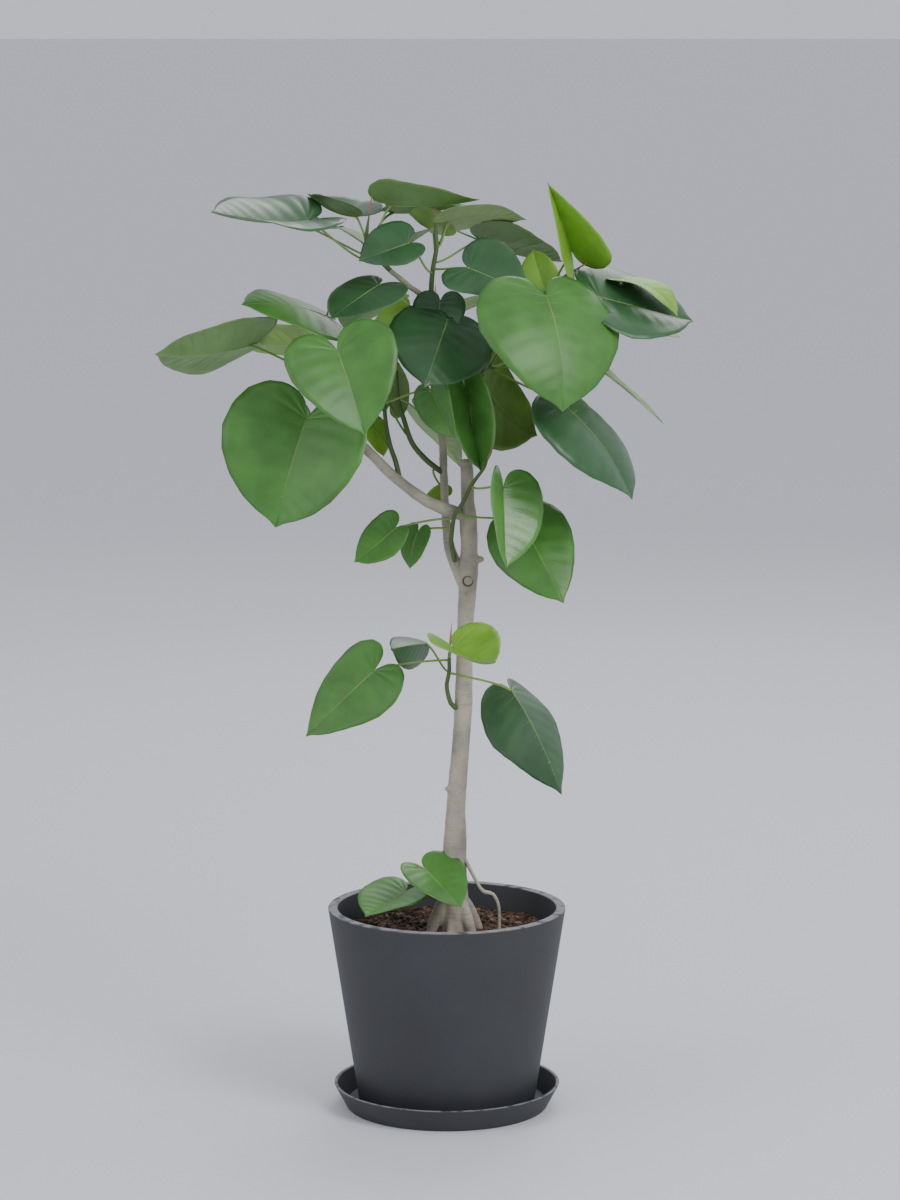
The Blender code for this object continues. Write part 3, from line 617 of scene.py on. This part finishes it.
BUD_PROFILE = ((-0.1, 0.8), (0, 1.15), (0.25, 1.25), (0.5, 1.0), (0.75, 0.6), (1, 0.15))
BUD_SIDES = 10
BLADE_HALF_THICKNESS = 0.00025
OUTLINE = np.array([(0, 0), (-0.09, 0.03), (-0.17, 0.07), (-0.225, 0.15), (-0.25, 0.26), (-0.215, 0.40),
                    (-0.10, 0.53), (0.07, 0.61), (0.27, 0.635), (0.46, 0.585), (0.64, 0.48), (0.79, 0.335),
                    (0.885, 0.19), (0.94, 0.075), (1.0, 0.0)])
ROWS = 46                        # across the veins, from the notch round the lobe to the tip
LANES = 9                        # from the midrib out to the edge
SIDE_VEINS = (0.09, 0.20, 0.31, 0.42, 0.52, 0.61, 0.695, 0.77, 0.84, 0.90)
NOTCH_SHARE = 0.36               # up to here round the edge, veins start from the joint itself
VEIN_SPACING = 1.15
VEIN_BEND = 0.14
VEIN_THICK = 0.0038              # a share of the blade's length
VEIN_TAPER = 0.75
VEIN_REACH = 0.93                # of the way to the edge
VEIN_PARTS = 9
VEIN_SIDES = 4
MIDRIB_REACH = 0.97
MIDRIB_PARTS = 12
MIDRIB_SIDES = 6
MIDRIB_SHARE = 0.8               # its radius at the joint, a share of the stalk's
MIDRIB_END = 0.00035
QUILT = 0.0085                   # depth of the quilting, a share of the blade's length
QUILT_SHAPE = (0.8, 0.6)         # powers that flatten the quilting between veins and along them
RIPPLE = 0.012                   # height of the wave along the edge, a share of the blade's length
RIPPLE_COUNT = 2.6
STRAIGHT = 1e-6                  # stands for a bend or curl of nothing
NO_AREA = 1e-12
TURNED_OVER = -0.2
# olive is painted light: a colour that stands in for light shining through a blade
TONES = {"deep": (0.032, 0.105, 0.034), "mid": (0.060, 0.195, 0.028), "bright": (0.19, 0.40, 0.035),
         "pale": (0.22, 0.33, 0.12), "olive": (0.085, 0.175, 0.016), "gloss": (0.10, 0.27, 0.055)}
TONE_ROUGHNESS = {"deep": 0.36, "mid": 0.42, "bright": 0.45, "pale": 0.55, "olive": 0.45, "gloss": 0.24}
RIB_GREEN = (0.30, 0.42, 0.13)
STALK_GREEN = (0.17, 0.30, 0.055)
SHOOT_GREEN = (0.075, 0.12, 0.035)
BUD_BROWN = (0.34, 0.17, 0.09)
PEBBLE_DEPTH = 0.0004

Leaf = namedtuple("Leaf", "root joint length heading pitch roll fold curl bend width point tone behind",
                  defaults=(None,))
blades = {tone: ([], [], []) for tone in TONES}
veins = {tone: ([], []) for tone in TONES}
stalks = ([], [])
buds = ([], [])
shoots = ([], [])
masses = []

steps = np.r_[0, np.cumsum(np.linalg.norm(np.diff(OUTLINE, axis=0), axis=1))]
steps /= steps[-1]


def edge_place(share):
    """Place on the half outline at a share of its way from the notch to the tip."""
    return np.stack([np.interp(share, steps, OUTLINE[:, axis]) for axis in (0, 1)], axis=-1)


def vein_start(share):
    """Where on the midrib the vein to that share of the edge begins."""
    return np.clip((share - NOTCH_SHARE) / (1 - NOTCH_SHARE), 0, 1) ** VEIN_SPACING


def blade_flat(share, lane):
    """Place on the flat blade, at a lane from the midrib out, along a vein that bends towards the tip."""
    edge = edge_place(share + VEIN_BEND * share * (1 - share) * lane ** 2)
    return vein_start(share) * (1 - lane) + edge[..., 0] * lane, edge[..., 1] * lane


def blade_axes(leaf):
    """Directions to the blade's tip, across it and off its upper face."""
    heading, pitch, roll = (math.radians(angle) for angle in (leaf.heading, leaf.pitch, leaf.roll))
    tip = Vector((math.cos(pitch) * math.cos(heading), math.cos(pitch) * math.sin(heading), math.sin(pitch)))
    level = Vector((-math.sin(heading), math.cos(heading), 0))
    face = tip.cross(level)
    across = level * math.cos(roll) + face * math.sin(roll)
    return tip, across, face * math.cos(roll) - level * math.sin(roll)


def blade_places(leaf, u, v, lift):
    """Places on the blade at shares u along and v across, lifted off its face by lift, in metres."""
    bend = math.radians(leaf.bend) or STRAIGHT
    fold = math.radians(leaf.fold)
    curl = math.radians(leaf.curl) or STRAIGHT
    ahead = np.clip(u, 0, None)
    reach = np.abs(v) * leaf.width * (1 - POINT_TAPER * leaf.point * np.clip(ahead, 0, 1))
    side = np.sign(v) * (np.sin(fold + curl * reach) - math.sin(fold)) / curl
    rise = -(np.cos(fold + curl * reach) - math.cos(fold)) / curl + lift
    turn = bend * ahead
    x = np.sin(turn) / bend + np.minimum(u, 0) + rise * np.sin(turn)
    z = -(1 - np.cos(turn)) / bend + rise * np.cos(turn)
    middle = bend / 2
    x, z = x * math.cos(middle) - z * math.sin(middle), x * math.sin(middle) + z * math.cos(middle)
    size = leaf.length * MM * middle / math.sin(middle)
    tip, across, face = (np.array(axis) for axis in blade_axes(leaf))
    joint = np.array(leaf.joint) * MM
    return joint + size * (x[..., None] * tip + side[..., None] * across + z[..., None] * face)


def surface_lift(share, lane, wave):
    """Quilting between the veins and a slow wave along the edge, in shares of the blade's length."""
    marks = np.array((0.0,) + SIDE_VEINS + (1.0,))
    gaps = np.interp(share, marks, np.arange(len(marks)))
    between, along = QUILT_SHAPE
    quilt = QUILT * np.abs(np.sin(np.pi * gaps)) ** between * np.sin(np.pi * np.clip(lane, 0, 1)) ** along
    ripple = RIPPLE * lane ** 2 * np.sin(2 * np.pi * (RIPPLE_COUNT * share + wave)) * np.sin(np.pi * share)
    return quilt + ripple


def skin_normals(leaf, grid, hand):
    """Directions off the upper face at each point of half a blade."""
    normal = np.cross(np.gradient(grid, axis=0), np.gradient(grid, axis=1)) * hand
    size = np.linalg.norm(normal, axis=-1, keepdims=True)
    face = np.array(blade_axes(leaf)[2])
    normal = np.where(size > NO_AREA, normal / np.maximum(size, NO_AREA), face)
    normal[np.sum(normal * face, axis=-1) < TURNED_OVER] *= -1
    return normal


def add_vein(leaf, line, thick, sides):
    """One vein as a thin tube along the blade."""
    add_tube(*veins[leaf.tone], [(Vector(place), float(radius)) for place, radius in zip(line, thick)], sides)


def add_half_blade(leaf, hand, wave):
    """The half of a blade to one side of its midrib: two faces, the edge between them, and its side veins."""
    verts, faces, slots = blades[leaf.tone]
    share, lane = np.linspace(0, 1, ROWS)[:, None], np.linspace(0, 1, LANES)[None, :]
    u, v = blade_flat(share, lane)
    grid = blade_places(leaf, u, hand * v, surface_lift(share, lane, wave))
    normal = skin_normals(leaf, grid, hand)
    upper = len(verts)
    lower = upper + ROWS * LANES
    for first, level in ((upper, 1), (lower, -1)):
        verts.extend((grid + level * BLADE_HALF_THICKNESS * normal).reshape(-1, 3))
        for i in range(ROWS - 1):
            for k in range(LANES - 1):
                a = first + i * LANES + k
                quad = (a, a + 1, a + LANES + 1, a + LANES)
                faces.append(quad if level != hand else quad[::-1])
                slots.append(0 if level > 0 else 1)
    for i in range(ROWS - 1):
        a, b = (first + i * LANES + LANES - 1 for first in (upper, lower))
        quad = (a, a + LANES, b + LANES, b)
        faces.append(quad if hand > 0 else quad[::-1])
        slots.append(1)
    out = np.linspace(0, VEIN_REACH, VEIN_PARTS)
    for mark in SIDE_VEINS:
        u, v = blade_flat(mark, out)
        line = blade_places(leaf, u, hand * v, surface_lift(mark, out, wave))
        add_vein(leaf, line, leaf.length * MM * VEIN_THICK * (1 - VEIN_TAPER * out), VEIN_SIDES)


def add_blade(leaf, rng):
    """One blade: its two halves and its midrib."""
    waves = (rng.random(), rng.random())
    for hand, wave in zip((1, -1), waves):
        add_half_blade(leaf, hand, wave)
    along = np.linspace(0, MIDRIB_REACH, MIDRIB_PARTS)
    line = blade_places(leaf, along, 0 * along, 0 * along)
    add_vein(leaf, line, np.maximum(STALK_RADIUS * MIDRIB_SHARE * (1 - along), MIDRIB_END), MIDRIB_SIDES)


def add_stalk(leaf, line):
    """A leaf's stalk: out from the shoot and over to the blade's joint."""
    for (low, _), (high, _) in zip(line, line[1:]):
        if low.z <= leaf.root * MM <= high.z:
            break
    root = low.lerp(high, min(max((leaf.root * MM - low.z) / (high.z - low.z), 0), 1))
    along = (high - low).normalized()
    joint = Vector(leaf.joint) * MM
    tip = blade_axes(leaf)[0]
    way = joint - root
    reach = way.length
    out = (way - along * way.dot(along)).normalized()
    way.normalize()
    lead = root + out * reach * STALK_BOW
    arrive = joint - (way + tip * (STALK_FOLLOW - min(way.dot(tip), 0))).normalized() * reach * STALK_BOW
    path = []
    for k in range(STALK_PARTS + 1):
        t = k / STALK_PARTS
        place = (root * (1 - t) ** 3 + lead * 3 * t * (1 - t) ** 2
                 + arrive * 3 * t * t * (1 - t) + joint * t ** 3)
        swell = max(0, (t - 1 + JOINT_SWELL) / JOINT_SWELL) + max(0, 1 - t / FOOT_SWELL)
        path.append((place, STALK_RADIUS + (STALK_KNUCKLE - STALK_RADIUS) * min(swell, 1)))
    add_tube(*stalks, path, STALK_SIDES)


def back_leaf(leaf, rng):
    """The like leaf behind a front one: mirrored to face the back, smaller, and turned a little."""
    x, y, z = leaf.joint
    return leaf._replace(joint=(x, leaf.behind, z - VIEW_FALL * (leaf.behind - y)),
                         length=leaf.length * rng.uniform(*BACK_SIZE),
                         heading=-leaf.heading + rng.uniform(-BACK_TURN, BACK_TURN),
                         pitch=leaf.pitch + rng.uniform(-BACK_TURN, BACK_TURN), roll=-leaf.roll, tone="mid")


def foliage(node, shoot, leaves):
    """One shoot with its end bud and its leaves, which together stand for the node."""
    masses.append(node)
    line = curve_through(shoot, SHOOT_STEP)
    add_tube(*shoots, line, SHOOT_SIDES)
    end, end_radius = line[-1]
    ahead = (end - line[-3][0]).normalized()
    bud = [(end + ahead * BUD_LENGTH * share, end_radius * swell) for share, swell in BUD_PROFILE]
    add_tube(*buds, bud, BUD_SIDES)
    back_rng = random.Random(BACK_SEED)
    wave_rng = random.Random(BACK_SEED)
    behind = [back_leaf(front, back_rng) for front in leaves if front.behind is not None]
    stalk_line = curve_through(shoot, STALK_LEAVE_STEP)
    for leaf in leaves + behind:
        add_stalk(leaf, stalk_line)
        add_blade(leaf, wave_rng)


foliage("top_foliage",
        [(-19, 22, 1025, 3.2), (-19, 22, 1037, 3.2), (-17, 22, 1058, 3), (-13, 22, 1080, 2.8),
         (-13, 22, 1094, 2.9), (-15, 22, 1124, 1)],
        [Leaf(1052, (-48, -30, 1091), 65, -163, -18, -40, 14, -8, 0, 0.95, 0.2, "deep"),
         Leaf(1083, (3, 30, 1115), 96, 6, 1, -23, 0, 5, 24, 0.8, 0.26, "pale"),
         Leaf(1084, (-2, 50, 1114), 56, 144, 7, 46, -7, 0, 9, 0.73, 0, "bright"),
         Leaf(1077, (-19, 100, 1101), 59, 117, -19, -18, 10, -5, 10, 1, 0.2, "mid"),
         Leaf(1057, (28, -40, 1061), 86, -29, -21, 41, 19, -17, 17, 0.96, 0.7, "deep"),
         Leaf(1065, (42, 100, 1087), 121, 26, -14, -8, 12, 10, -22, 0.97, 0.6, "deep")])

foliage("upper_left_foliage",
        [(-70, 11, 1056, 3.2), (-88, 8, 1074, 3), (-96, 8, 1083, 2.8), (-99, 8, 1096, 2.8),
         (-95, 8, 1127, 0.9)],
        [Leaf(1072, (-171, 0, 1117), 132, -151, 6, -12, 20, -36, -24, 1.04, 0.25, "deep", 90),
         Leaf(1095, (-112, 40, 1120), 90, 137, 17, 6, 24, 2, -34, 0.94, 0.5, "deep"),
         Leaf(1080, (-105, 60, 1087), 84, 131, 18, 19, 10, -8, 5, 0.7, 0.2, "pale"),
         Leaf(1092, (-68, 20, 1135), 110, -7, 4, -9, 26, -1, -17, 0.95, 1.24, "mid", 110)])

foliage("front_foliage",
        [(-16, 21, 978, 2.6), (-16, 8, 986, 2.6), (-17, -4, 1000, 2.2), (-16, -8, 1012, 1.2)],
        [Leaf(994, (1, -42, 998), 108, -111, -44, -26, -15, 4, 24, 0.99, 0.15, "deep"),
         Leaf(1008, (-8, -20, 1020), 54, -104, -68, -4, 8, -5, 10, 1, 0.2, "deep"),
         Leaf(1000, (-84, -30, 1040), 84, -138, -26, -9, -6, 13, 7, 0.99, 0.3, "deep")])

foliage("back_foliage",
        [(-15, 21, 960, 2.8), (-14, 34, 970, 2.8), (-16, 48, 984, 2.4), (-20, 60, 1000, 1.4)],
        [Leaf(984, (6, 60, 1001), 56, 22, 14, -30, 8, -5, 8, 0.7, 0.2, "pale"),
         Leaf(988, (-56, 40, 1002), 41, 150, -16, -45, 8, -5, 8, 1, 0.2, "bright"),
         Leaf(994, (5, 130, 960), 100, 100, -48, 20, 10, -8, 20, 1, 0.2, "mid"),
         Leaf(998, (-80, 125, 1010), 78, 140, -30, 9, 6, 8, 8, 1, 0.3, "mid")])

foliage("right_foliage",
        [(41, 2, 928, 3.4), (47, 1, 935, 3.4), (69, 4, 962, 3.2), (103, 10, 998, 2.9), (135, 16, 1032, 2.5),
         (146, 18, 1047, 2.8), (166, 20, 1060, 1)],
        [Leaf(1024, (123, 80, 1024), 58, 130, 66, -58, 17, -4, 17, 0.79, 0.2, "bright"),
         Leaf(937, (120, -100, 1031), 145, -70, -68, -7, 0, -29, 50, 1.04, 0.23, "mid", 150),
         Leaf(1036, (153, 20, 1080), 104, -122, 56, -126, 56, 8, 10, 0.99, 1.7, "bright"),
         Leaf(940, (187, -20, 1025), 124, 12, -15, 27, 12, -33, 0, 1.04, -0.2, "deep", 120),
         Leaf(1034, (223, 20, 1042), 83, -34, -30, 0, 10, -20, 60, 0.6, 0.3, "bright"),
         Leaf(1018, (204, 80, 992), 96, 12, -16, 15, 8, -8, 10, 0.9, 0.2, "bright"),
         Leaf(969, (170, 100, 942), 142, 16, -39, 12, 6, -8, 8, 0.6, 0.2, "pale"),
         Leaf(939, (148, -50, 891), 137, -12, -54, 10, 10, -54, 30, 1.14, 0.2, "deep"),
         Leaf(938, (46, 30, 920), 106, 26, -45, 50, 12, -42, -48, 1.12, -0.3, "olive"),
         Leaf(937, (22, -20, 914), 106, -1, -79, 84, 62, -2, 8, 0.81, -0.2, "gloss")])

foliage("left_foliage",
        [(-110, -12, 846, 4.6), (-117, -12, 852, 4.5), (-134, -10, 873, 4), (-149, -4, 899, 3.4),
         (-157, 2, 928, 3), (-154, 8, 958, 2.4), (-150, 12, 985, 1.2)],
        [Leaf(957, (-149, 0, 1000), 118, -150, 9, -19, -3, -12, 30, 0.98, 0.1, "mid"),
         Leaf(931, (-244, 0, 964), 124, -155, -3, 28, 13, -25, -23, 1.02, -0.3, "mid"),
         Leaf(931, (-168, 30, 960), 100, 160, -2, 30, 7, -6, 15, 0.82, 0.1, "bright"),
         Leaf(898, (-132, -108, 967), 112, -49, -62, 34, 18, -8, 24, 1.06, 0.73, "mid", 100),
         Leaf(880, (-171, -60, 879), 138, -153, -72, -47, 16, 0, 28, 1.09, 0.1, "mid", 90)])

foliage("inner_left_foliage",
        [(-57, -14, 795, 3.4), (-63, -14, 821, 3.2), (-69, -12, 838, 3), (-74, -8, 860, 2.8),
         (-77, -2, 887, 2.6), (-80, 10, 945, 2)],
        [Leaf(893, (-18, -66, 914), 72, -52, -49, 79, 15, -10, 13, 0.69, 0.6, "mid"),
         Leaf(839, (-93, 20, 865), 44, -34, -66, 10, 6, -6, 10, 0.8, 0.2, "bright")])

foliage("inner_foliage",
        [(-4, 17, 803, 3.4), (-16, 10, 813, 3.6), (-27, 4, 823, 3.5), (-43, 1, 843, 3.3), (-53, 1, 872, 3.1),
         (-60, 3, 897, 2.6), (-62, 8, 933, 1.8)],
        [Leaf(897, (-36, 60, 876), 93, 20, -52, -8, 8, -8, 10, 0.8, 0.2, "pale"),
         Leaf(850, (-71, 35, 888), 59, 70, 57, 58, 8, -5, 8, 0.7, 0.2, "pale"),
         Leaf(812, (-2, 32, 772), 30, 150, -4, -37, 18, -3, 20, 0.96, 0.2, "bright")])

foliage("fork_foliage",
        [(11, 2, 690, 2.8), (6, -6, 715, 2.9), (6, -12, 730, 2.8), (10, -27, 757, 2.7), (19, -30, 771, 2.6),
         (32, -36, 797, 2.5), (46, -42, 817, 2), (50, -46, 828, 0.8)],
        [Leaf(751, (-65, -20, 738), 65, 176, -40, -48, 7, -10, -11, 0.82, 0.2, "mid"),
         Leaf(737, (-36, 0, 732), 47, -148, -76, -12, 3, -7, 30, 0.85, 0.4, "mid"),
         Leaf(793, (69, -60, 794), 100, -84, -72, -41, 26, 0, 0, 0.86, 0.16, "gloss"),
         Leaf(760, (93, -20, 746), 118, -46, -52, 43, -12, -5, 32, 0.74, 0.5, "mid")])

foliage("low_foliage",
        [(20, 0, 511, 3.4), (10, -8, 512, 3.3), (5, -12, 518, 3), (1, -14, 531.5, 2.8), (0, -14, 543.5, 2.7),
         (3, -14, 557.5, 2.6), (3, -14, 573.5, 2.4), (4, -14, 590, 1.2)],
        [Leaf(573, (-91, -20, 560), 118, -176, -44, -41, 1, -17, 4, 0.84, 0.9, "mid"),
         Leaf(558, (-26, 20, 588), 67, -131, 1, -61, -48, -14, 30, 0.87, 0.1, "deep"),
         Leaf(577, (8, -60, 596), 81, -50, -6, 5, 26, 7, -50, 1.12, 0.5, "bright"),
         Leaf(557, (80, -40, 539), 151, -50, -51, 27, -46, -6, 52, 0.68, 0.5, "deep")])

foliage("foot_foliage",
        [(7, -4, 262, 2.6), (-2, -20, 274, 2.4), (-14, -26, 287, 2.2), (-21, -28, 296, 1.4)],
        [Leaf(266, (-53, -10, 277), 76, -131, -15, -3, 20, -33, 0, 1.02, 0.1, "mid"),
         Leaf(282, (-28, -30, 311), 74, -42, -33, 12, 11, 10, 6, 0.97, 0.3, "mid")])


def leaf_finish(name, colour, roughness, pebbling):
    """Satin leaf skin with faint clouding; pebbling is how strong its fine relief is."""
    skin = Finish(name, colour, roughness)
    cloud = skin.grain(scale=30, detail=4)
    pebble = skin.grain(scale=700, detail=2)
    dark, light = tuple(0.82 * c for c in colour), tuple(1.2 * c for c in colour)
    skin.paint("Base Color", skin.between(cloud.clear(0.3, 0.7), dark, light))
    skin.paint("Roughness", roughness + 0.12 * (cloud - 0.5))
    skin.relief(pebble, PEBBLE_DEPTH, pebbling)
    return skin


def mixed_green(share, first, second):
    """A share of the second colour in the first."""
    return tuple((1 - share) * c + share * d for c, d in zip(first, second))


for tone, colour in TONES.items():
    upper = leaf_finish("leaf_%s" % tone, colour, TONE_ROUGHNESS[tone], pebbling=0.35)
    under_colour = mixed_green(0.45, colour, TONES["pale"])
    under = leaf_finish("leaf_%s_underside" % tone, under_colour, roughness=0.6, pebbling=0.5)
    rib_colour = mixed_green(0.5, colour, RIB_GREEN)
    rib = leaf_finish("leaf_%s_veins" % tone, rib_colour, roughness=0.5, pebbling=0.2)
    verts, faces, slots = blades[tone]
    settle(add_mesh("blades_%s" % tone, verts, faces, [upper, under], slots), "leaf", *masses)
    settle(add_mesh("veins_%s" % tone, *veins[tone], [rib]), "leaf")
stalk_skin = leaf_finish("green_stalk", STALK_GREEN, roughness=0.45, pebbling=0.3)
settle(add_mesh("leaf_stalks", *stalks, [stalk_skin]), "leaf")
bud_skin = leaf_finish("bud_sheath", BUD_BROWN, roughness=0.5, pebbling=0.4)
settle(add_mesh("end_buds", *buds, [bud_skin]), "leaf")
shoot_skin = leaf_finish("green_shoot", SHOOT_GREEN, roughness=0.55, pebbling=0.4)
settle(add_mesh("shoots", *shoots, [shoot_skin]), "leaf")
